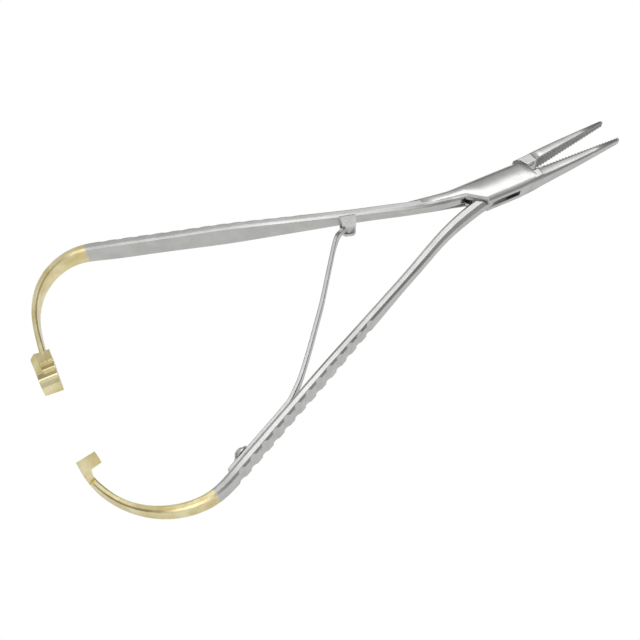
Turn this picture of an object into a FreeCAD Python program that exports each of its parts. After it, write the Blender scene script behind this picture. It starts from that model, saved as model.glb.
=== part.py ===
import FreeCAD, Part
import math
import os

V = FreeCAD.Vector
UP = V(0, 0, 1)

# Driving dimensions in millimetres and degrees, in the frame of one half with the jaws closed.
# The pivot axis is the Z axis, +X runs to the jaw tips and the grips lie at minus X.
SIZES = {
    "open_angle": 9.2,
    "jaw_length": 33.4,
    "jaw_root": 8.0,
    "jaw_root_depth": 3.1,
    "jaw_root_thick": 3.9,
    "jaw_mid": 20.0,
    "jaw_mid_depth": 2.15,
    "jaw_mid_thick": 2.8,
    "jaw_tip_depth": 0.75,
    "jaw_tip_thick": 1.5,
    "jaw_bevel": 0.35,
    "bite_gap": 0.03,
    "insert_start": 12.5,
    "insert_depth": 0.7,
    "serration_pitch": 0.85,
    "serration_depth": 0.28,
    "box_back": 7.3,
    "box_front": 9.7,
    "box_half_width": 3.3,
    "box_thick": 4.4,
    "box_bevel": 0.45,
    "slot_thick": 1.56,
    "tongue_thick": 1.44,
    "joint_gap": 0.2,
    "pivot_radius": 1.2,
    "pivot_fit": 0.03,
    "throat_x": 10.5,
    "throat_y": 2.05,
    "throat_width": 2.6,
    "neck_x": 18.0,
    "neck_y": 3.5,
    "neck_width": 2.3,
    "neck_thick": 3.6,
    "neck_side": 2.0,
    "waist_x": 32.0,
    "waist_width": 1.9,
    "waist_thick": 3.7,
    "waist_side": 2.6,
    "grip_x": 58.0,
    "grip_width": 1.8,
    "grip_thick": 5.9,
    "grip_side": 5.1,
    "heel_x": 84.0,
    "heel_y": 23.4,
    "heel_width": 1.85,
    "heel_thick": 5.3,
    "heel_side": 4.5,
    "bow_x": 90.5,
    "bow_y": 24.8,
    "bow_width": 1.65,
    "bow_thick": 4.7,
    "strip_width": 1.15,
    "strip_thick": 3.8,
    "bow_end_y": 6.0,
    "rack_reach": 104.2,
    "hook_reach": 107.8,
    "groove_first": 45.0,
    "groove_pitch": 3.25,
    "groove_count": 13,
    "groove_radius": 1.3,
    "groove_depth": 0.42,
    "rack_width": 3.9,
    "rack_length": 8.0,
    "rack_top_y": 4.2,
    "rack_thick": 3.2,
    "tooth_pitch": 1.83,
    "tooth_height": 0.45,
    "tooth_first_y": 1.6,
    "lane_width": 1.4,
    "hook_tip_y": 5.1,
    "hook_travel": 2.2,
    "hook_length": 4.0,
    "hook_thick": 1.1,
    "hook_gap": 0.25,
    "spring_thick": 0.8,
    "spring_width": 3.0,
    "spring_foot": 85.0,
    "spring_leave": 72.0,
    "spring_seat_gap": 0.08,
    "screw_x": 81.0,
    "screw_shank": 0.8,
    "screw_depth": 1.3,
    "screw_head": 1.9,
    "screw_flange": 0.45,
    "screw_dome": 0.95,
    "screw_slot": 0.5,
    "clevis_x": 33.2,
    "clevis_seat_gap": 0.03,
    "clevis_length": 3.6,
    "clevis_height": 3.0,
    "clevis_width": 3.6,
    "clevis_slot": 2.0,
    "clevis_floor": 0.75,
    "clevis_stud": 0.7,
    "clevis_stud_depth": 1.0,
    "hinge_pin": 0.45,
    "hinge_fit": 0.03,
    "hinge_drop": 1.9,
    "eye_radius": 0.95,
}

doc = FreeCAD.newDocument("needle_holder")
sheet = doc.addObject("Spreadsheet::Sheet", "Sizes")
for row, (name, value) in enumerate(SIZES.items(), start=1):
    sheet.set("A%d" % row, name)
    sheet.set("B%d" % row, str(value))
    sheet.setAlias("B%d" % row, name)
doc.recompute()


def size(name):
    return float(getattr(sheet, name))


def bind(obj, **links):
    """Tie properties of an object to cells or sums of cells of the sheet."""
    for prop, text in links.items():
        words = text.replace("(", " ( ").replace(")", " ) ").split()
        linked = ["Sizes." + w if w in SIZES else w for w in words]
        obj.setExpression(prop, " ".join(linked))


def feature(name, shape):
    obj = doc.addObject("Part::Feature", name)
    obj.Shape = shape
    return obj


def boolean(kind, name, base, tool):
    obj = doc.addObject("Part::" + kind, name)
    obj.Base = base
    obj.Tool = tool
    return obj


def fuse(name, shapes):
    obj = doc.addObject("Part::MultiFuse", name)
    obj.Shapes = shapes
    obj.Refine = True
    return obj


def prism(points, z_low, z_high):
    """Solid that stands on a plan outline between two heights."""
    wire = Part.makePolygon([V(x, y, z_low) for x, y in points + points[:1]])
    return Part.Face(wire).extrude(V(0, 0, z_high - z_low))


def mirrored(shape):
    """The other half's copy of a shape, across the closed instrument's middle plane."""
    return shape.mirror(V(0, 0, 0), V(0, 1, 0))


# Arms: sections with a narrow flat in front and behind, bevels, and tall flat sides
def handle_y(x):
    """Height of the straight handle's centreline above the middle plane."""
    slope = (size("heel_y") - size("neck_y")) / (size("heel_x") - size("neck_x"))
    return size("neck_y") + slope * (x - size("neck_x"))


def arm_stations(reach):
    """Centreline point, width, thickness and flat side height of each section."""
    throat_x, throat_y = size("throat_x"), size("throat_y")
    wide, side = size("throat_width"), size("neck_side")
    stations = [(-throat_x * 0.25, throat_y * 0.72, wide, size("box_thick") * 0.9, side),
                (-throat_x * 0.6, throat_y * 0.78, wide, size("box_thick") * 0.9, side),
                (-throat_x, throat_y, wide, (size("box_thick") + size("neck_thick")) / 2, side)]
    for part, following in (("neck", "waist"), ("waist", "grip"), ("grip", "heel")):
        start, end = size(part + "_x"), size(following + "_x")
        steps = 2 if part == "neck" else 3
        for i in range(steps):
            share = i / steps
            x = start + (end - start) * share
            w, h, b = [size(part + word) * (1 - share) + size(following + word) * share
                       for word in ("_width", "_thick", "_side")]
            stations.append((-x, handle_y(x), w, h, b))
    x = size("heel_x")
    stations.append((-x, handle_y(x), size("heel_width"), size("heel_thick"), size("heel_side")))
    side_share = size("heel_side") / size("heel_thick")
    width, thick = size("bow_width"), size("bow_thick")
    stations.append((-size("bow_x"), size("bow_y"), width, thick, thick * side_share))
    across = reach - size("bow_x")
    up = size("bow_y") - size("bow_end_y")
    for turn in (30, 60, 90):
        share = turn / 90.0
        t = math.radians(turn)
        w = width + (size("strip_width") - width) * min(1.0, share * 1.5)
        h = thick + (size("strip_thick") - thick) * min(1.0, share * 1.5)
        x = -size("bow_x") - across * math.sin(t)
        y = size("bow_end_y") + up * math.cos(t)
        stations.append((x, y, w, h, h * side_share))
    return stations


def centreline(stations):
    curve = Part.BSplineCurve()
    curve.interpolate([V(x, y, 0) for x, y, *_ in stations])
    return curve


def section(curve, station):
    """Eight-sided wire across the arm at one station."""
    x, y, width, thick, side = station
    here = V(x, y, 0)
    along = curve.tangent(curve.parameter(here))[0]
    across = UP.cross(along).normalize()
    flat = width * 0.48
    ring = [(flat / 2, thick / 2), (width / 2, side / 2), (width / 2, -side / 2), (flat / 2, -thick / 2)]
    ring += [(-n, -z) for n, z in ring]
    points = [here + across * n + UP * z for n, z in ring]
    return Part.makePolygon(points + points[:1])


def arm(stations):
    curve = centreline(stations)
    return Part.makeLoft([section(curve, s) for s in stations], True, False)


def handle_frame(x):
    """Centreline point of the handle, its direction to the heel and its outward normal."""
    slope = (handle_y(x) - handle_y(x - 1.0))
    along = V(-1, slope, 0).normalize()
    outward = V(slope, 1, 0).normalize()
    return V(-x, handle_y(x), 0), along, outward


def half_width(x):
    """Half the handle's width between two named stations."""
    names = ["neck", "waist", "grip", "heel"]
    for a, b in zip(names, names[1:]):
        if x <= size(b + "_x"):
            share = (x - size(a + "_x")) / (size(b + "_x") - size(a + "_x"))
            return (size(a + "_width") * (1 - share) + size(b + "_width") * share) / 2
    return size("heel_width") / 2


def grip_grooves():
    """Scallops across the outer face of the grip."""
    tall = size("grip_thick") * 1.5
    cutters = []
    for i in range(int(size("groove_count"))):
        x = size("groove_first") + i * size("groove_pitch")
        point, along, outward = handle_frame(x)
        centre = point + outward * (half_width(x) + size("groove_radius") - size("groove_depth"))
        cutters.append(Part.makeCylinder(size("groove_radius"), tall, centre - UP * tall / 2))
    return Part.makeCompound(cutters)


# Jaws: tapered half-round bars, split for the hard serrated inserts
def jaw_section(x, depth, thick):
    bevel = size("jaw_bevel") * depth / size("jaw_root_depth") + 0.1
    top = -size("bite_gap")
    half = thick / 2
    ring = [(top, half), (bevel - depth, half), (-depth, half - 1.3 * bevel)]
    ring += [(y, -z) for y, z in reversed(ring)]
    return Part.makePolygon([V(x, y, z) for y, z in ring + ring[:1]])


def jaw_blank():
    sections = [
        jaw_section(size("jaw_root"), size("jaw_root_depth"), size("jaw_root_thick")),
        jaw_section(size("jaw_mid"), size("jaw_mid_depth"), size("jaw_mid_thick")),
        jaw_section(size("jaw_length"), size("jaw_tip_depth"), size("jaw_tip_thick")),
    ]
    return Part.makeLoft(sections, True, False)


def insert_zone():
    """Wedge along the bite, thinner to the tip, that the insert fills."""
    start, tip = size("insert_start"), size("jaw_length")
    deep = size("insert_depth")
    shallow = deep * size("jaw_tip_depth") / size("jaw_root_depth") + 0.15
    tall = size("jaw_root_thick")
    outline = [(start, 0.1), (start, -deep), (tip + 0.1, -shallow), (tip + 0.1, 0.1)]
    return prism(outline, -tall, tall)


def serrations():
    """Crosswise V notches in the bite face."""
    pitch, deep = size("serration_pitch"), size("serration_depth")
    tall = size("jaw_root_thick")
    top = 0.05
    notches = []
    x = size("insert_start") + pitch
    while x < size("jaw_length") - pitch / 2:
        half = pitch * 0.46
        outline = [(x - half, top), (x, -deep - size("bite_gap")), (x + half, top)]
        notches.append(prism(outline, -tall, tall))
        x += pitch
    return Part.makeCompound(notches)


# Box lock: the rack half's box has a slot through it, and the hook half's tongue turns in the slot
def box_outline():
    half = size("box_half_width")
    back, front = size("box_back"), size("box_front")
    root = size("jaw_root") + 3.5
    return [(-back, 0.1), (half * 0.3 - back / 1.6, -half), (front / 2, -half), (root, 0.4 - size("jaw_root_depth")),
            (root, -size("bite_gap")), (front, -size("bite_gap")), (front - 0.6, half * 0.6), (front - 2.2, half),
            (-back * 0.45, half), (-back, half - 0.55)]


def box_block():
    """Box with bevelled front and back edges."""
    thick, bevel = size("box_thick"), size("box_bevel")
    block = prism(box_outline(), -thick / 2, thick / 2)
    edges = [e for e in block.Edges if abs(e.Vertexes[0].Z - e.Vertexes[-1].Z) < 1e-6]
    return block.makeChamfer(bevel, edges)


def slot_cut():
    half = size("box_half_width") + 2
    back, front = size("box_back") + 3, size("box_front") + 3
    gap = size("joint_gap")
    wall_x = size("box_front") / 2
    wall_y = size("box_half_width") / 2
    outline = [(-back, 0.0), (-wall_x, wall_y - gap), (-wall_x, half), (front, half),
               (front, 0.0), (wall_x, gap - wall_y), (wall_x, -half), (-back, -half)]
    return prism(outline, -size("slot_thick") / 2, size("slot_thick") / 2)


def tongue():
    half = size("box_half_width")
    wall_x = size("box_front") / 2
    low = half * 0.8
    outline = [(-size("throat_x"), -size("throat_y") + 0.8), (-size("box_back"), -0.5), (-wall_x + 0.3, half / 2 - 0.75),
               (-wall_x + 0.6, half * 0.45), (-1.5, low), (wall_x - 1.0, low), (size("box_front") - 1.8, half * 0.72),
               (size("insert_start"), 1.8), (size("insert_start"), 0.8), (size("box_front"), 0.3),
               (wall_x - 0.3, 0.75 - half / 2), (wall_x - 0.6, -half * 0.45), (1.5, -low), (1.0 - wall_x, -low),
               (-size("box_back"), -half * 0.72), (-size("throat_x"), -size("throat_y") - 0.8)]
    return prism(outline, -size("tongue_thick") / 2, size("tongue_thick") / 2)


def box_clearance():
    """Room that the hook half leaves round the box, over the whole swing, in front and behind."""
    face = Part.Face(Part.makePolygon([V(x, y, 0) for x, y in box_outline() + box_outline()[:1]]))
    grown = face.makeOffset2D(size("joint_gap"), 2)
    tall = size("box_thick")
    low = size("tongue_thick") / 2
    room = []
    for share in (0.0, 0.5, 1.0):
        for start, height in ((low, tall), (-low - tall, tall)):
            block = grown.extrude(V(0, 0, height))
            block.translate(V(0, 0, start))
            block.rotate(V(0, 0, 0), UP, -share * size("open_angle"))
            room.append(block)
    return Part.makeCompound(room)


# Ratchet: toothed block at the end of one bow, hook at the end of the other
def rack_block():
    inner = size("rack_reach") - size("rack_width") / 2 + 0.9
    outer = inner + size("rack_width")
    top, bottom = size("rack_top_y"), size("rack_top_y") - size("rack_length")
    face_z = size("rack_thick") / 2 - size("tooth_height") / 2
    outline = [(-inner + 0.25, top), (-inner - 0.1, bottom), (-outer, bottom + 0.3), (-outer, top - 0.4),
               (-outer + 1.0, top + 0.6)]
    block = prism(outline, face_z - size("rack_thick"), face_z)
    pieces = [block]
    for i in range(3):
        y = size("tooth_first_y") - i * size("tooth_pitch")
        reach = size("rack_width") - (0.25 if i == 2 else size("lane_width"))
        crest, foot = size("tooth_height"), size("tooth_pitch") * 0.62
        profile = Part.makePolygon([V(-inner - 0.15, y + foot * 0.2, face_z - 0.2), V(-inner - 0.15, y + foot * 0.2, face_z),
                                    V(-inner - 0.15, y, face_z + crest), V(-inner - 0.15, y - foot, face_z),
                                    V(-inner - 0.15, y - foot, face_z - 0.2),
                                    V(-inner - 0.15, y + foot * 0.2, face_z - 0.2)])
        pieces.append(Part.Face(profile).extrude(V(-reach + 0.15, 0, 0)))
    return pieces


def hook_pieces():
    """Paddle at the front of the strip with a lip that points to the joint."""
    outer = size("hook_reach") + size("strip_width") / 2
    inner = outer - size("hook_length")
    tip, travel = size("hook_tip_y"), size("hook_travel")
    crest_z = size("rack_thick") / 2 + size("tooth_height") / 2
    low = crest_z + size("hook_gap")
    web = outer - size("strip_width")
    post = prism([(-outer, tip), (-web, tip), (-web, size("bow_end_y") + 0.6), (-outer, size("bow_end_y") + 0.6)],
                 -size("strip_thick") / 2 + 0.4, low + 0.1)
    lip = prism([(-outer, tip), (-inner, tip), (-inner, tip + travel), (-web + 0.6, tip + travel + 0.2),
                 (-web, tip + travel + 2.4), (-outer, tip + travel + 2.8)], low, low + size("hook_thick"))
    return [post, lip]


# Leaf spring: straight foot on the hook half's handle, then one long bend to the hinge on the other handle
def hinge_centre():
    """Spring hinge in the rack half's frame."""
    x = size("clevis_x")
    point, along, outward = handle_frame(x)
    return point - outward * (half_width(x) + size("clevis_seat_gap") + size("hinge_drop"))


def spring_points():
    """Foot along the handle and bend points, in the mirrored frame where the spring's handle is at plus Y."""
    foot = []
    for x in (size("spring_foot"), size("spring_leave")):
        point, along, outward = handle_frame(x)
        drop = half_width(x) + size("spring_thick") / 2 + size("spring_seat_gap")
        foot.append(point - outward * drop)
    turned = FreeCAD.Rotation(UP, -size("open_angle")).multVec(hinge_centre())
    end = V(turned.x, -turned.y, 0)
    chord = end - foot[1]
    side = V(-chord.y, chord.x, 0).normalize()
    bend = [foot[1]]
    for share, bulge in ((0.24, 2.6), (0.5, 2.9), (0.76, 1.2), (0.93, -1.1)):
        bend.append(foot[1] + chord * share - side * bulge)
    bend.append(end + V(-0.4, 0.1, 0))
    return foot, bend, end


def spring_shape():
    foot, points, end = spring_points()
    along = (foot[1] - foot[0]).normalize()
    last = (points[-1] - points[-2]).normalize()
    middle = Part.BSplineCurve()
    middle.interpolate(Points=points, InitialTangent=along, FinalTangent=last)
    half = size("spring_thick") / 2
    steps = 40
    edges = []
    ends = []
    for sign in (1, -1):
        offset = UP.cross(along) * half * sign
        line = []
        for i in range(steps + 1):
            at = middle.FirstParameter + (middle.LastParameter - middle.FirstParameter) * i / steps
            across = UP.cross(middle.tangent(at)[0]).normalize()
            line.append(middle.value(at) + across * half * sign)
        line[0] = foot[1] + offset
        curve = Part.BSplineCurve()
        curve.interpolate(line)
        edges += [Part.LineSegment(foot[0] + offset, line[0]).toShape(), curve.toShape()]
        ends.append((foot[0] + offset, line[-1]))
    edges += [Part.LineSegment(ends[0][i], ends[1][i]).toShape() for i in (0, 1)]
    wire = Part.Wire(Part.__sortEdges__(edges))
    half_tall = size("spring_width") / 2
    leaf = Part.Face(wire).extrude(V(0, 0, 2 * half_tall))
    leaf.translate(V(0, 0, -half_tall))
    eye_half = size("clevis_slot") / 2 - 0.1
    narrow = Part.makeBox(14, 14, half_tall, end - V(7, 7, -eye_half))
    leaf = leaf.cut(narrow).cut(narrow.mirror(V(0, 0, 0), UP))
    eye = Part.makeCylinder(size("eye_radius"), 2 * eye_half, end - UP * eye_half)
    bore = Part.makeCylinder(size("hinge_pin") + size("hinge_fit"), 4 * eye_half, end - UP * 2 * eye_half)
    return leaf.fuse(eye).cut(bore)


def screw_place():
    """Seat of the screw on the spring, its axis pointing away from the handle."""
    x = size("screw_x")
    point, along, outward = handle_frame(x)
    seat = point - outward * (half_width(x) + size("spring_thick") + size("spring_seat_gap"))
    seat = V(seat.x, -seat.y, 0)
    inward = V(-outward.x, outward.y, 0)
    return seat, inward


def screw_hole():
    seat, inward = screw_place()
    depth = size("spring_thick") + size("spring_seat_gap") + size("screw_depth")
    return Part.makeCylinder(size("screw_shank") + 0.02, depth + 0.5, seat + inward * 0.5, inward * -1)


def clevis_place():
    x = size("clevis_x")
    point, along, outward = handle_frame(x)
    seat = point - outward * (half_width(x) + size("clevis_seat_gap"))
    return seat, outward


def clevis_hole():
    seat, outward = clevis_place()
    return Part.makeCylinder(size("clevis_stud") + 0.02, size("clevis_stud_depth") + 0.4, seat - outward * 0.4, outward)


# Bodies turned or milled from bar
def plane(body, role):
    return [f for f in body.Origin.OriginFeatures if f.Role == role][0]


def sketch_on(body, role, name, points):
    """Closed outline on one of the body's own planes."""
    sk = body.newObject("Sketcher::SketchObject", name)
    sk.AttachmentSupport = [(plane(body, role), "")]
    sk.MapMode = "FlatFace"
    count = len(points)
    for i in range(count):
        x0, y0 = points[i]
        x1, y1 = points[(i + 1) % count]
        sk.addGeometry(Part.LineSegment(V(x0, y0, 0), V(x1, y1, 0)), False)
    return sk


def pad_circle(body, name, radius, length, at=(0, 0)):
    """Round boss on the XY plane, half on each side of it."""
    sk = body.newObject("Sketcher::SketchObject", name + "_round")
    sk.AttachmentSupport = [(plane(body, "XY_Plane"), "")]
    sk.MapMode = "FlatFace"
    sk.addGeometry(Part.Circle(V(at[0], at[1], 0), UP, size(radius)), False)
    index = sk.addConstraint(__import__("Sketcher").Constraint("Radius", 0, size(radius)))
    bind(sk, **{"Constraints[%d]" % index: radius})
    pad = body.newObject("PartDesign::Pad", name)
    pad.Profile = sk
    pad.Midplane = True
    bind(pad, Length=length)
    return pad


def pin_body(label, radius, length):
    """Round pin, ground flush at both ends."""
    body = doc.addObject("PartDesign::Body", label)
    body.Tip = pad_circle(body, label + "_pad", radius, length)
    return body


def screw_body():
    """Slotted round-head screw with a flange, head along +Z of its own frame."""
    body = doc.addObject("PartDesign::Body", "spring_screw")
    shank, head = size("screw_shank"), size("screw_head")
    flange, dome = size("screw_flange"), size("screw_dome")
    depth = -(size("spring_thick") + size("spring_seat_gap") + size("screw_depth"))
    crown = head * 0.68
    outline = [(0, depth), (shank - 0.15, depth), (shank, depth + 0.15), (shank, 0), (head, 0), (head, flange),
               (crown, flange), (crown * 0.93, flange + dome * 0.55), (crown * 0.6, flange + dome * 0.9),
               (0, flange + dome)]
    sk = sketch_on(body, "XZ_Plane", "screw_outline", outline)
    turn = body.newObject("PartDesign::Revolution", "screw_turned")
    turn.Profile = sk
    turn.ReferenceAxis = (sk, ["V_Axis"])
    turn.Angle = 360
    width = size("screw_slot")
    low = flange + dome * 0.35
    cut = sketch_on(body, "XZ_Plane", "slot_outline",
                    [(-width / 2, low), (width / 2, low), (width / 2, low + 2), (-width / 2, low + 2)])
    slot = body.newObject("PartDesign::Pocket", "screw_slot_cut")
    slot.Profile = cut
    slot.Midplane = True
    slot.Length = 3 * head
    body.Tip = slot
    return body


def clevis_body():
    """Two-cheek bracket: its seat is the YZ plane, cheeks along -X, hinge axis along Z."""
    body = doc.addObject("PartDesign::Body", "spring_clevis")
    half, high = size("clevis_length") / 2, size("clevis_height")
    outline = [(0, -half), (0, half), (-0.6, half), (-high + 0.5, half - 0.35), (-high, half - 0.9),
               (-high, 0.9 - half), (-high + 0.5, 0.35 - half), (-0.6, -half)]
    block = body.newObject("PartDesign::Pad", "clevis_block")
    block.Profile = sketch_on(body, "XY_Plane", "cheek_outline", outline)
    block.Midplane = True
    bind(block, Length="clevis_width")
    floor = size("clevis_floor")
    gap = size("clevis_slot") / 2
    cut = sketch_on(body, "XZ_Plane", "fork_outline",
                    [(-floor, -gap), (-floor, gap), (-high - 1, gap), (-high - 1, -gap)])
    fork = body.newObject("PartDesign::Pocket", "clevis_fork")
    fork.Profile = cut
    fork.Midplane = True
    fork.Length = 4 * half
    stud = body.newObject("PartDesign::Pad", "clevis_stud_pad")
    disc = body.newObject("Sketcher::SketchObject", "stud_outline")
    disc.AttachmentSupport = [(plane(body, "YZ_Plane"), "")]
    disc.MapMode = "FlatFace"
    disc.addGeometry(Part.Circle(V(0, 0, 0), UP, size("clevis_stud")), False)
    stud.Profile = disc
    bind(stud, Length="clevis_stud_depth")
    bore = body.newObject("Sketcher::SketchObject", "hinge_outline")
    bore.AttachmentSupport = [(plane(body, "XY_Plane"), "")]
    bore.MapMode = "FlatFace"
    bore.addGeometry(Part.Circle(V(-size("hinge_drop"), 0, 0), UP, size("hinge_pin") + 0.01), False)
    hole = body.newObject("PartDesign::Pocket", "hinge_bore")
    hole.Profile = bore
    hole.Midplane = True
    hole.Length = 2 * size("clevis_width")
    body.Tip = hole
    return body


def turned_frame(origin, x_axis, z_axis):
    """Placement with the given origin, X axis and Z axis."""
    y_axis = z_axis.cross(x_axis)
    return FreeCAD.Placement(origin, FreeCAD.Rotation(x_axis, y_axis, z_axis, "ZXY"))


def pivot_hole(name, fit):
    hole = doc.addObject("Part::Cylinder", name)
    bind(hole, Radius="pivot_radius + " + fit, Height="box_thick * 3")
    hole.setExpression("Placement.Base.z", "-1.5 * Sizes.box_thick")
    return hole


# Rack half
rack_arm_end = [(-size("rack_reach") - 0.15, size("rack_top_y") - 1.5, size("strip_width"),
                 size("strip_thick") * 0.9, size("strip_thick") * 0.72)]
rack_arm = feature("rack_arm", arm(arm_stations(size("rack_reach")) + rack_arm_end))
rack_rest = [feature("rack_part_%d" % i, s) for i, s in enumerate(rack_block())]
jaw_bar = jaw_blank()
lower_jaw = feature("lower_jaw_bar", jaw_bar.cut(insert_zone()))
box = feature("box_block", box_block())
rack_solid = fuse("rack_half_blank", [rack_arm, box, lower_jaw] + rack_rest)
rack_cutters = [feature("slot_room", slot_cut()), feature("grooves_a", grip_grooves()),
                feature("stud_room", clevis_hole()), pivot_hole("pivot_bore_a", "0.01")]
rack_half = rack_solid
for i, cutter in enumerate(rack_cutters):
    rack_half = boolean("Cut", "rack_half_cut_%d" % i, rack_half, cutter)
rack_half.Label = "rack_half"

# Hook half
hook_arm_end = [(-size("hook_reach"), size("hook_tip_y") + 0.15, size("strip_width"),
                 size("strip_thick") * 0.9, size("strip_thick") * 0.72)]
hook_arm = feature("hook_arm", mirrored(arm(arm_stations(size("hook_reach")) + hook_arm_end)))
hook_rest = [feature("hook_part_%d" % i, mirrored(s)) for i, s in enumerate(hook_pieces())]
upper_jaw = feature("upper_jaw_bar", mirrored(jaw_bar.cut(insert_zone())))
hook_outer = fuse("hook_half_blank", [hook_arm, upper_jaw] + hook_rest)
hook_open = boolean("Cut", "hook_half_cleared", hook_outer, feature("box_room", box_clearance()))
hook_solid = fuse("hook_half_joined", [hook_open, feature("tongue", tongue())])
hook_cutters = [feature("grooves_b", mirrored(grip_grooves())), feature("screw_room", screw_hole()),
                pivot_hole("pivot_bore_b", "pivot_fit")]
hook_half = hook_solid
for i, cutter in enumerate(hook_cutters):
    hook_half = boolean("Cut", "hook_half_cut_%d" % i, hook_half, cutter)
hook_half.Label = "hook_half"

# Serrated inserts
insert_bar = jaw_bar.common(insert_zone()).cut(serrations())
lower_insert = feature("lower_jaw_insert", insert_bar)
upper_insert = feature("upper_jaw_insert", mirrored(insert_bar))

# Spring, its screw and its hinge
spring = feature("leaf_spring", mirrored(spring_shape()).cut(screw_hole()))
screw = screw_body()
clevis = clevis_body()
pivot_pin = pin_body("pivot_pin", "pivot_radius", "box_thick")
hinge_pin = pin_body("hinge_pin", "hinge_pin", "clevis_width")

doc.recompute()

# At rest the halves stand open, each turned by half the opening, with the box's back face at Z zero
lift = V(0, 0, size("box_thick") / 2)
rack_turn = FreeCAD.Placement(lift, FreeCAD.Rotation(UP, -size("open_angle") / 2))
hook_turn = FreeCAD.Placement(lift, FreeCAD.Rotation(UP, size("open_angle") / 2))
screw_seat, screw_axis = screw_place()
clevis_seat, clevis_out = clevis_place()
placed = {
    rack_half: rack_turn,
    lower_insert: rack_turn,
    pivot_pin: rack_turn,
    clevis: rack_turn.multiply(turned_frame(clevis_seat, clevis_out, UP)),
    hinge_pin: rack_turn.multiply(FreeCAD.Placement(hinge_centre(), FreeCAD.Rotation())),
    hook_half: hook_turn,
    upper_insert: hook_turn,
    spring: hook_turn,
    screw: hook_turn.multiply(turned_frame(screw_seat, UP, screw_axis)),
}
for obj, placement in placed.items():
    obj.Placement = placement
doc.recompute()

failed = [o.Name for o in doc.Objects if "Invalid" in o.State or "Error" in o.State]
if failed:
    raise SystemExit("failed objects: " + ", ".join(failed))

os.makedirs("parts", exist_ok=True)
for obj in placed:
    shape = obj.Shape
    if shape.isNull() or not shape.isValid():
        raise SystemExit("bad shape: " + obj.Label)
    print("%-18s solids %d volume %.2f" % (obj.Label, len(shape.Solids), shape.Volume))
    shape.exportStep("parts/" + obj.Label + ".step")
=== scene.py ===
import math

import bmesh
import bpy
from mathutils import Matrix, Vector

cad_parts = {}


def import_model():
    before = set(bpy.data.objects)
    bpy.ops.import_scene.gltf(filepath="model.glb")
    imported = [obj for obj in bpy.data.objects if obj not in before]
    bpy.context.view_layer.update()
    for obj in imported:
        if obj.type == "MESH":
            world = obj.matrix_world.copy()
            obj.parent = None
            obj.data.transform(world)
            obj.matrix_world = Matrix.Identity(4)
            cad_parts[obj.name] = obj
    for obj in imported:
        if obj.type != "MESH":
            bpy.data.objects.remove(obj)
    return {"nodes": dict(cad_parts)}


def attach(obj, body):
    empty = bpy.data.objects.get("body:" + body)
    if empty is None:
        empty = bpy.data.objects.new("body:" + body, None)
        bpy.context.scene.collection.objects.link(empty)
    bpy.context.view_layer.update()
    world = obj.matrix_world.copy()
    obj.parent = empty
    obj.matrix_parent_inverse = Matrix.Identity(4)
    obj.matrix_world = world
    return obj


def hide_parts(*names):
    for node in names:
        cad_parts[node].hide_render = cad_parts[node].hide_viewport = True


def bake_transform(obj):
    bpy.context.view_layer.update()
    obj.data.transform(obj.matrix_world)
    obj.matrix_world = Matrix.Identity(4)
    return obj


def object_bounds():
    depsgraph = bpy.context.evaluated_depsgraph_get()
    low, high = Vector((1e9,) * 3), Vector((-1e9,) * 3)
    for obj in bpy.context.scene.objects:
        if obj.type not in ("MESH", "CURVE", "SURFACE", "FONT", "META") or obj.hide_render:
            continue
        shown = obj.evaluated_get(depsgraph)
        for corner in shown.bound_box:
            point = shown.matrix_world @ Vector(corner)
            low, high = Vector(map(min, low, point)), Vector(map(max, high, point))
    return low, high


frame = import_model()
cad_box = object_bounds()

MM = 0.001
nodes = frame["nodes"]

# At rest each half stands open by this angle about the pivot axis
HALF_OPEN = math.radians(4.6)
# The halves mirror each other: their own closed frames share one measure along and opposite ones across
RACK = 1
HOOK = -1
# Height of the halves' middle plane, between their flat sides, in millimetres
MIDDLE_HEIGHT = 2.2

# Where the plating starts on each half, measured along its handle from the pivot axis
RACK_PLATING = 91.3 * MM
HOOK_PLATING = 93.6 * MM
# How far the plating's edge wanders, the grain of that, and the length over which it fades
PLATING_WANDER = 0.7 * MM
PLATING_WANDER_GRAIN = 900.0
PLATING_FADE = 0.5 * MM
# Slope of a handle against its own closed jaw
HANDLE_SLOPE = math.radians(16.8)

# Forged halves: darkest and lightest base colour of the steel and of the plating
STEEL_COLOURS = ((0.56, 0.56, 0.55), (0.63, 0.63, 0.62))
GOLD_COLOURS = ((0.76, 0.63, 0.30), (0.98, 0.89, 0.56))
# Their grain, its stretch along the handle, and what it turns into: roughness, and share of the lightest
FORGED_GRAIN = 260.0
BRUSHED = (0.06, 1.0, 1.0)
FORGED_ROUGH = ((0.25, 0.24), (0.75, 0.36))
FORGED_CLOUD = ((0.35, 0.0), (0.65, 1.0))
# Radius of their soft edges, smaller on the plating, and strength and depth of their relief
STEEL_EDGE = 0.2 * MM
PLATED_EDGE = 0.05 * MM
FORGED_RELIEF = (0.05, 0.02 * MM)

# Small pieces: darkest and lightest base colour, lowest and highest roughness, radius of soft edges
SPRING_FINISH = ((0.50, 0.50, 0.49), (0.64, 0.64, 0.63), 0.26, 0.38, 0.06 * MM)
INSERT_FINISH = ((0.22, 0.22, 0.215), (0.40, 0.40, 0.39), 0.32, 0.48, 0.05 * MM)
BRIGHT_FINISH = ((0.56, 0.56, 0.55), (0.70, 0.70, 0.69), 0.22, 0.34, 0.05 * MM)
# Their colour's cloud and their grain, where in the grain the two roughnesses lie, and their relief
TURNED_CLOUD = 700.0
TURNED_GRAIN = 4200.0
TURNED_SPREAD = (0.3, 0.7)
TURNED_RELIEF = (0.04, 0.015 * MM)

# Rays that look for a soft edge
EDGE_SAMPLES = 12

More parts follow.
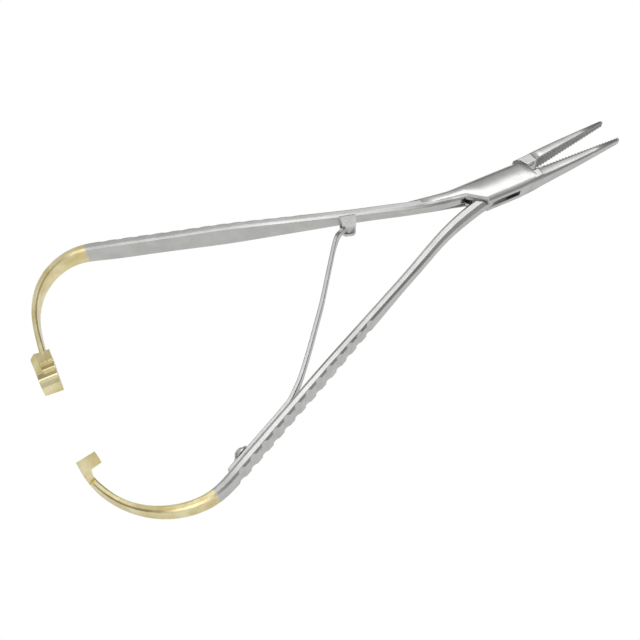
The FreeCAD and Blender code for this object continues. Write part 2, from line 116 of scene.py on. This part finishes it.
# Leaf spring: centre line in the hook half's own closed frame, from the foot to the hinge, in millimetres
SPRING_FOOT = ((-85.4, 22.36), (-81.0, 21.03), (-77.0, 19.83), (-73.6, 18.81), (-71.4, 18.15))
SPRING_LEAF = ((-69.8, 17.6), (-67.8, 16.9), (-65.4, 15.45), (-62.7, 13.6), (-58.05, 9.75),
               (-53.6, 5.85), (-49.2, 1.95), (-44.6, -2.5), (-39.95, -7.0), (-38.3, -8.55),
               (-36.9, -9.7), (-35.9, -10.3), (-34.9, -10.65), (-34.1, -10.76), (-33.4, -10.76))
SPRING_HINGE = (-32.73, -10.73)
SPRING_STEPS = 6
SPRING_HALF_THICK = 0.4 * MM
SPRING_CHAMFER = 0.14 * MM
SPRING_HALF_WIDTH = 1.5 * MM
SPRING_EYE_HALF_WIDTH = 0.88 * MM
# The strip narrows to the eye's width over this length, which ends this far from the hinge
SPRING_TAPER = 2.2 * MM
SPRING_TAPER_END = 2.4 * MM
# Outer and inner radius of the eye
SPRING_EYE = 0.95 * MM
SPRING_EYE_BORE = 0.5 * MM
EYE_SIDES = 28

# Smooth faces over the box of the lock, in the rack half's closed frame, in millimetres:
# distance along, near edge, far edge, height of the edges, crown above them, chamfer
LOCK_FACE = ((-19.5, 3.10, 4.80, 3.92, 0.0, 0.25), (-14.0, 1.58, 3.90, 4.10, 0.05, 0.35),
             (-10.5, 0.80, 3.36, 4.26, 0.09, 0.40), (-8.8, 0.35, 3.28, 4.36, 0.15, 0.42),
             (-7.4, 0.00, 3.28, 4.42, 0.20, 0.44), (-5.5, -1.60, 3.31, 4.42, 0.26, 0.44),
             (-3.6, -3.31, 3.32, 4.42, 0.28, 0.44), (0.0, -3.32, 3.32, 4.42, 0.28, 0.44),
             (4.85, -3.32, 3.32, 4.42, 0.26, 0.44), (7.5, -3.14, 3.30, 4.42, 0.20, 0.44),
             (9.1, -3.00, 1.98, 4.38, 0.13, 0.42), (9.75, -2.94, -0.035, 4.32, 0.10, 0.40),
             (11.5, -2.80, -0.035, 4.10, 0.06, 0.38), (15.0, -2.55, -0.035, 3.86, 0.04, 0.34),
             (20.0, -2.16, -0.035, 3.62, 0.03, 0.30), (26.7, -1.46, -0.035, 3.30, 0.02, 0.22),
             (33.0, -0.80, -0.035, 2.98, 0.01, 0.14))
# The same over the hook half's jaw, in that half's own closed frame
JAW_FACE = ((12.45, -2.70, -0.035, 3.99, 0.05, 0.36),) + LOCK_FACE[-4:]
# Below its chamfers a face reaches this deep and leans inward by this much
FACE_ROOT = 0.22
FACE_LEAN = 0.06
# A chamfer takes no more than this share of a face's width
FACE_CHAMFER_SHARE = 0.3
CROWN_STEPS = 8

# Ridged face of the toothed block, in the rack half's closed frame, in millimetres:
# outer side, then distance across and height at each corner of the ridges
RIDGES = ((-105.65, ((4.3, 3.96), (1.8, 4.22), (1.4, 3.72), (0.1, 4.16), (-0.3, 3.72))),
          (-107.0, ((-0.3, 3.66), (-1.75, 4.16), (-2.15, 3.74), (-3.79, 4.02))))
BLOCK_ROOT = 3.3
# The block's inner side lies here at its upper end and slants away by this much over its length
BLOCK_INNER = -102.88
BLOCK_UPPER_END = 4.2
BLOCK_SLANT = 0.35
BLOCK_LENGTH = 8.0

# Camera that fits the photograph: tilt from straight down, turn about the vertical, distance and aim
CAMERA_TILT = math.radians(31.0)
CAMERA_TURN = math.radians(31.08)
CAMERA_DISTANCE = 207.7 * MM
CAMERA_TARGET = Vector((-51.2, -9.0, MIDDLE_HEIGHT)) * MM
CAMERA_LENS = 56.25
SENSOR = 36.0
NEAREST_SEEN = 0.01

# Floor: length of its sides, distance below the instrument, base colour, and colour in the metal
FLOOR_SIDE = 3.0
FLOOR_GAP = 0.05 * MM
FLOOR_COLOUR = (0.82, 0.82, 0.82)
FLOOR_REFLECTED = (0.76, 0.76, 0.75)
WHITE = (1.0, 1.0, 1.0)

# Brightness of the studio dome, over the sine of the angle above the horizon
DOME = ((0.0, 0.20), (0.35, 0.30), (0.6, 0.48), (0.82, 0.64))

# Soft boxes, in metres and watts. The upper one shines straight down from beyond the jaws. The other
# shines at the camera's aim from in front of it, right of it and above it, as the camera sees it
TOP_BOX_PLACE = Vector((0.236, 0.1635, 0.52))
TOP_BOX_SIZE = (0.55, 0.2)
TOP_BOX_TURN = math.radians(15.0)
TOP_BOX_POWER = 0.56
FRONT_BOX_SIZE = (0.4, 0.3)
FRONT_BOX_FRONT = 0.5
FRONT_BOX_RIGHT = 0.1
FRONT_BOX_ABOVE = 0.35
FRONT_BOX_POWER = 0.5


def new_material(name):
    """Material with its node tree and its main shader."""
    material = bpy.data.materials.new(name)
    material.use_nodes = True
    tree = material.node_tree
    return material, tree, tree.nodes["Principled BSDF"]


def feed(tree, socket, value):
    """Link a socket to another node's output, or set it to a number or a colour."""
    if hasattr(value, "links"):
        tree.links.new(value, socket)
    elif isinstance(value, tuple):
        socket.default_value = (*value, 1.0)
    else:
        socket.default_value = value


def math_node(tree, operation, a, b, clamp=False):
    node = tree.nodes.new("ShaderNodeMath")
    node.operation = operation
    node.use_clamp = clamp
    feed(tree, node.inputs[0], a)
    feed(tree, node.inputs[1], b)
    return node.outputs[0]


def mix_colour(tree, factor, a, b):
    node = tree.nodes.new("ShaderNodeMix")
    node.data_type = "RGBA"
    feed(tree, node.inputs[0], factor)
    feed(tree, node.inputs[6], a)
    feed(tree, node.inputs[7], b)
    return node.outputs[2]


def noise(tree, scale, detail, rough, stretch=(1.0, 1.0, 1.0), angle=0.0):
    """Noise in the object's own space, stretched along a direction in the plan."""
    place = tree.nodes.new("ShaderNodeTexCoord")
    turn = tree.nodes.new("ShaderNodeMapping")
    turn.inputs["Rotation"].default_value = (0.0, 0.0, angle)
    grow = tree.nodes.new("ShaderNodeMapping")
    grow.inputs["Scale"].default_value = stretch
    tree.links.new(place.outputs["Object"], turn.inputs["Vector"])
    tree.links.new(turn.outputs["Vector"], grow.inputs["Vector"])
    grain = tree.nodes.new("ShaderNodeTexNoise")
    grain.inputs["Scale"].default_value = scale
    grain.inputs["Detail"].default_value = detail
    grain.inputs["Roughness"].default_value = rough
    tree.links.new(grow.outputs["Vector"], grain.inputs["Vector"])
    return grain.outputs["Fac"]


def ramp(tree, factor, stops):
    """Grey level that runs through the given stops, each a place and a level."""
    node = tree.nodes.new("ShaderNodeValToRGB")
    while len(node.color_ramp.elements) < len(stops):
        node.color_ramp.elements.new(0.5)
    for element, (place, level) in zip(node.color_ramp.elements, stops):
        element.position = place
        element.color = (level, level, level, 1.0)
    tree.links.new(factor, node.inputs["Fac"])
    return node.outputs["Color"]


def surface(tree, shader, height, strength, distance, edge):
    """Fine relief over softened edges."""
    soft = tree.nodes.new("ShaderNodeBevel")
    soft.samples = EDGE_SAMPLES
    feed(tree, soft.inputs["Radius"], edge)
    bump = tree.nodes.new("ShaderNodeBump")
    bump.inputs["Strength"].default_value = strength
    bump.inputs["Distance"].default_value = distance
    tree.links.new(height, bump.inputs["Height"])
    tree.links.new(soft.outputs["Normal"], bump.inputs["Normal"])
    tree.links.new(bump.outputs["Normal"], shader.inputs["Normal"])


def plating_mask(tree, angle, start):
    """One beyond the plating's edge along the handle, with a slightly uneven line."""
    place = tree.nodes.new("ShaderNodeTexCoord")
    along = tree.nodes.new("ShaderNodeVectorMath")
    along.operation = "DOT_PRODUCT"
    along.inputs[1].default_value = (math.cos(angle), math.sin(angle), 0.0)
    tree.links.new(place.outputs["Object"], along.inputs[0])
    uneven = noise(tree, PLATING_WANDER_GRAIN, detail=2.0, rough=0.5)
    wander = math_node(tree, "MULTIPLY", uneven, PLATING_WANDER)
    reach = math_node(tree, "ADD", along.outputs["Value"], wander)
    past = math_node(tree, "SUBTRACT", reach, start)
    return math_node(tree, "MULTIPLY", past, 1.0 / PLATING_FADE, clamp=True)


def forged_steel(name, angle, plating_start):
    """Satin steel, brushed along the handle, with warm plating past the start distance."""
    material, tree, shader = new_material(name)
    shader.inputs["Metallic"].default_value = 1.0
    brushed = noise(tree, FORGED_GRAIN, detail=4.0, rough=0.6, stretch=BRUSHED, angle=-angle)
    cloudy = ramp(tree, noise(tree, FORGED_GRAIN, detail=3.0, rough=0.55), FORGED_CLOUD)
    steel = mix_colour(tree, cloudy, *STEEL_COLOURS)
    gold = mix_colour(tree, cloudy, *GOLD_COLOURS)
    mask = plating_mask(tree, angle, plating_start)
    tree.links.new(mix_colour(tree, mask, steel, gold), shader.inputs["Base Color"])
    tree.links.new(ramp(tree, brushed, FORGED_ROUGH), shader.inputs["Roughness"])
    sharper = math_node(tree, "MULTIPLY", mask, STEEL_EDGE - PLATED_EDGE)
    edge = math_node(tree, "SUBTRACT", STEEL_EDGE, sharper)
    surface(tree, shader, brushed, *FORGED_RELIEF, edge)
    return material


def turned_steel(name, dark, light, rough_low, rough_high, edge):
    """Metal of a small machined piece, with fine grain."""
    material, tree, shader = new_material(name)
    shader.inputs["Metallic"].default_value = 1.0
    cloudy = noise(tree, TURNED_CLOUD, detail=3.0, rough=0.6)
    grain = noise(tree, TURNED_GRAIN, detail=3.0, rough=0.6)
    tree.links.new(mix_colour(tree, cloudy, dark, light), shader.inputs["Base Color"])
    stops = tuple(zip(TURNED_SPREAD, (rough_low, rough_high)))
    tree.links.new(ramp(tree, grain, stops), shader.inputs["Roughness"])
    surface(tree, shader, grain, *TURNED_RELIEF, edge)
    return material


def assign(obj, material):
    obj.data.materials.clear()
    obj.data.materials.append(material)


def opened(along, across, height, half):
    """Point of a half's own closed frame, in millimetres, turned to the open rest."""
    c, s = math.cos(HALF_OPEN), math.sin(HALF_OPEN)
    return Vector(((along * c + across * s) * MM, half * (across * c - along * s) * MM, height * MM))


def spring_point(along, across):
    """Point of the leaf spring's centre line at rest, at half height of the strip."""
    return opened(along, across, MIDDLE_HEIGHT, HOOK)


def skin_rows(shape, rows, smooth=()):
    """Closed solid over rows of vertices, with smooth shading on the named strips of faces."""
    count = len(rows[0])
    for a, b in zip(rows, rows[1:]):
        for i in range(count):
            j = (i + 1) % count
            face = shape.faces.new((a[i], a[j], b[j], b[i]))
            face.smooth = i in smooth
    shape.faces.new(rows[0])
    shape.faces.new(list(reversed(rows[-1])))


def new_piece(name, shape, material):
    """Object of its own from a finished shape, with its faces turned outward."""
    bmesh.ops.recalc_face_normals(shape, faces=shape.faces)
    mesh = bpy.data.meshes.new(name)
    shape.to_mesh(mesh)
    shape.free()
    piece = bpy.data.objects.new(name, mesh)
    bpy.context.scene.collection.objects.link(piece)
    assign(piece, material)
    return piece


def smooth_line(points, steps):
    """Points along a curve through the given ones, with steps in each gap."""
    line = []
    last = len(points) - 1
    for i in range(last):
        before, a, b, after = points[max(i - 1, 0)], points[i], points[i + 1], points[min(i + 2, last)]
        for k in range(steps):
            t = k / steps
            line.append(0.5 * (2 * a + (b - before) * t + (2 * before - 5 * a + 4 * b - after) * t * t
                               + (3 * a - 3 * b + after - before) * t * t * t))
    line.append(points[last].copy())
    return line


def ring(shape, centre, radius, bore, half_height):
    """Short tube standing on the plan, for the spring's eye."""
    loops = []
    for r, z in ((radius, -half_height), (radius, half_height), (bore, half_height), (bore, -half_height)):
        loop = []
        for i in range(EYE_SIDES):
            turn = 2 * math.pi * i / EYE_SIDES
            loop.append(shape.verts.new(centre + Vector((r * math.cos(turn), r * math.sin(turn), z))))
        loops.append(loop)
    for k in range(4):
        a, b = loops[k], loops[(k + 1) % 4]
        for i in range(EYE_SIDES):
            j = (i + 1) % EYE_SIDES
            shape.faces.new((a[i], a[j], b[j], b[i]))


def strip_half_width(distance):
    """Half the strip's width at a distance from the hinge, narrowing smoothly to the eye's."""
    share = min(1.0, max(0.0, (distance - SPRING_TAPER_END) / SPRING_TAPER))
    share = share * share * (3 - 2 * share)
    return SPRING_EYE_HALF_WIDTH + (SPRING_HALF_WIDTH - SPRING_EYE_HALF_WIDTH) * share


def leaf_spring():
    """Spring strip from its foot on one handle to the eye at the other, in short lengths."""
    line = smooth_line([spring_point(*p) for p in SPRING_FOOT + SPRING_LEAF], SPRING_STEPS)
    hinge = spring_point(*SPRING_HINGE)
    half = SPRING_HALF_THICK
    cut = SPRING_CHAMFER
    shape = bmesh.new()
    rows = []
    for i, at in enumerate(line):
        forward = (line[min(i + 1, len(line) - 1)] - line[max(i - 1, 0)]).normalized()
        across = Vector((-forward.y, forward.x, 0.0))
        tall = strip_half_width((at - hinge).length)
        outline = ((half, cut - tall), (half, tall - cut), (half - cut, tall), (cut - half, tall),
                   (-half, tall - cut), (-half, cut - tall), (cut - half, -tall), (half - cut, -tall))
        rows.append([shape.verts.new(at + across * u + Vector((0, 0, v))) for u, v in outline])
    skin_rows(shape, rows)
    ring(shape, hinge, SPRING_EYE, SPRING_EYE_BORE, SPRING_EYE_HALF_WIDTH)
    piece = new_piece("leaf_spring_strip", shape, turned_steel("spring_steel", *SPRING_FINISH))
    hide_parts("leaf_spring")
    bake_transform(piece)


def crowned_outline(near, far, edge, crown, cut):
    """Distance across and height at each point over a flat, from the near root to the far one."""
    width = far - near
    cut = min(cut, width * FACE_CHAMFER_SHARE)
    shoulder = edge - cut
    points = [(near + FACE_LEAN, shoulder - FACE_ROOT), (near, shoulder)]
    for i in range(CROWN_STEPS + 1):
        t = i / CROWN_STEPS
        points.append((near + cut + (width - 2 * cut) * t, edge + crown * (1 - (2 * t - 1) ** 2)))
    return points + [(far, shoulder), (far - FACE_LEAN, shoulder - FACE_ROOT)]


def face_skin(name, stations, half, body, material):
    """Crowned skins over both flats of a half, running smoothly along it."""
    shape = bmesh.new()
    for side in (1, -1):
        rows = []
        for along, near, far, edge, crown, cut in stations:
            row = []
            for across, high in crowned_outline(near, far, edge, crown, cut):
                height = MIDDLE_HEIGHT + side * (high - MIDDLE_HEIGHT)
                row.append(shape.verts.new(opened(along, across, height, half)))
            rows.append(row)
        skin_rows(shape, rows, smooth=range(2, CROWN_STEPS + 2))
    piece = new_piece(name, shape, bpy.data.materials[material])
    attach(piece, body)


def ratchet_face():
    """Ridges over the toothed block, each with one gently sloped side and one steep side."""
    shape = bmesh.new()
    for outer, profile in RIDGES:
        rows = []
        for across, high in profile:
            inner = BLOCK_INNER - BLOCK_SLANT * (BLOCK_UPPER_END - across) / BLOCK_LENGTH
            corners = ((outer, BLOCK_ROOT), (outer, high), (inner, high), (inner, BLOCK_ROOT))
            rows.append([shape.verts.new(opened(along, across, height, RACK)) for along, height in corners])
        skin_rows(shape, rows)
    piece = new_piece("ratchet_face", shape, bpy.data.materials["rack_steel"])
    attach(piece, "rack_body")


def dress_metal():
    """Steel on the solids of the frame, with the plating on the bows of the two halves."""
    handle_angle = math.pi - HANDLE_SLOPE - HALF_OPEN
    assign(nodes["rack_half"], forged_steel("rack_steel", handle_angle, RACK_PLATING))
    assign(nodes["hook_half"], forged_steel("hook_steel", -handle_angle, HOOK_PLATING))
    hard = turned_steel("hard_metal", *INSERT_FINISH)
    bright = turned_steel("bright_steel", *BRIGHT_FINISH)
    for name in ("upper_jaw_insert", "lower_jaw_insert"):
        assign(nodes[name], hard)
    for name in ("spring_screw", "spring_clevis", "hinge_pin", "pivot_pin"):
        assign(nodes[name], bright)


def floor():
    """Pale floor that shows white to the camera and a little darker to the metal."""
    bpy.ops.mesh.primitive_plane_add(size=FLOOR_SIDE, location=(0, 0, cad_box[0][2] - FLOOR_GAP))
    ground = bpy.context.object
    ground.name = "floor"
    material, tree, shader = new_material("floor_pale")
    feed(tree, shader.inputs["Base Color"], FLOOR_COLOUR)
    shader.inputs["Roughness"].default_value = 0.9
    shader.inputs["Specular IOR Level"].default_value = 0.0
    path = tree.nodes.new("ShaderNodeLightPath")
    glow = tree.nodes.new("ShaderNodeEmission")
    level = mix_colour(tree, path.outputs["Is Camera Ray"], FLOOR_REFLECTED, WHITE)
    tree.links.new(level, glow.inputs["Color"])
    mixed = tree.nodes.new("ShaderNodeMixShader")
    seen = math_node(tree, "ADD", path.outputs["Is Camera Ray"], path.outputs["Is Glossy Ray"], clamp=True)
    tree.links.new(seen, mixed.inputs[0])
    tree.links.new(shader.outputs[0], mixed.inputs[1])
    tree.links.new(glow.outputs[0], mixed.inputs[2])
    tree.links.new(mixed.outputs[0], tree.nodes["Material Output"].inputs["Surface"])
    assign(ground, material)


def world():
    """White to the camera, and a soft studio dome for the metal."""
    sky = bpy.data.worlds.new("studio")
    bpy.context.scene.world = sky
    sky.use_nodes = True
    tree = sky.node_tree
    back = tree.nodes["Background"]
    place = tree.nodes.new("ShaderNodeTexCoord")
    split = tree.nodes.new("ShaderNodeSeparateXYZ")
    tree.links.new(place.outputs["Generated"], split.inputs[0])
    dome = ramp(tree, split.outputs["Z"], DOME)
    path = tree.nodes.new("ShaderNodeLightPath")
    level = mix_colour(tree, path.outputs["Is Camera Ray"], dome, WHITE)
    tree.links.new(level, back.inputs["Color"])
    back.inputs["Strength"].default_value = 1.0


def lamp(name, place, power, size, turned):
    """Rectangular soft box that shines along its own downward axis."""
    light = bpy.data.lights.new(name, "AREA")
    light.energy = power
    light.shape = "RECTANGLE"
    light.size, light.size_y = size
    holder = bpy.data.objects.new(name, light)
    bpy.context.scene.collection.objects.link(holder)
    holder.location = place
    holder.rotation_euler = turned


def camera():
    """Camera above the near side of the instrument, level with the photograph's frame."""
    right = Vector((math.cos(CAMERA_TURN), -math.sin(CAMERA_TURN), 0.0))
    away = Vector((math.sin(CAMERA_TURN), math.cos(CAMERA_TURN), 0.0))
    back = -away * math.sin(CAMERA_TILT) + Vector((0, 0, math.cos(CAMERA_TILT)))
    up = back.cross(right)
    data = bpy.data.cameras.new("camera")
    data.lens = CAMERA_LENS
    data.sensor_width = SENSOR
    data.clip_start = NEAREST_SEEN
    eye = bpy.data.objects.new("camera", data)
    bpy.context.scene.collection.objects.link(eye)
    turned = Matrix((right, up, back)).transposed().to_4x4()
    eye.matrix_world = Matrix.Translation(CAMERA_TARGET + back * CAMERA_DISTANCE) @ turned
    bpy.context.scene.camera = eye
    return right, away


def lamps(right, away):
    """One soft box over the far right side, and one in front for the sides of the handles."""
    lamp("softbox_top", TOP_BOX_PLACE, TOP_BOX_POWER, TOP_BOX_SIZE, (0.0, 0.0, TOP_BOX_TURN))
    aside = CAMERA_TARGET - away * FRONT_BOX_FRONT + right * FRONT_BOX_RIGHT
    place = aside + Vector((0, 0, FRONT_BOX_ABOVE))
    aim = (CAMERA_TARGET - place).to_track_quat("-Z", "Y").to_euler()
    lamp("softbox_front", place, FRONT_BOX_POWER, FRONT_BOX_SIZE, aim)


dress_metal()
leaf_spring()
face_skin("lock_face", LOCK_FACE, RACK, "rack_body", "rack_steel")
face_skin("jaw_face", JAW_FACE, HOOK, "hook_body", "hook_steel")
ratchet_face()
floor()
world()
lamps(*camera())

bpy.context.scene.view_settings.view_transform = "Standard"
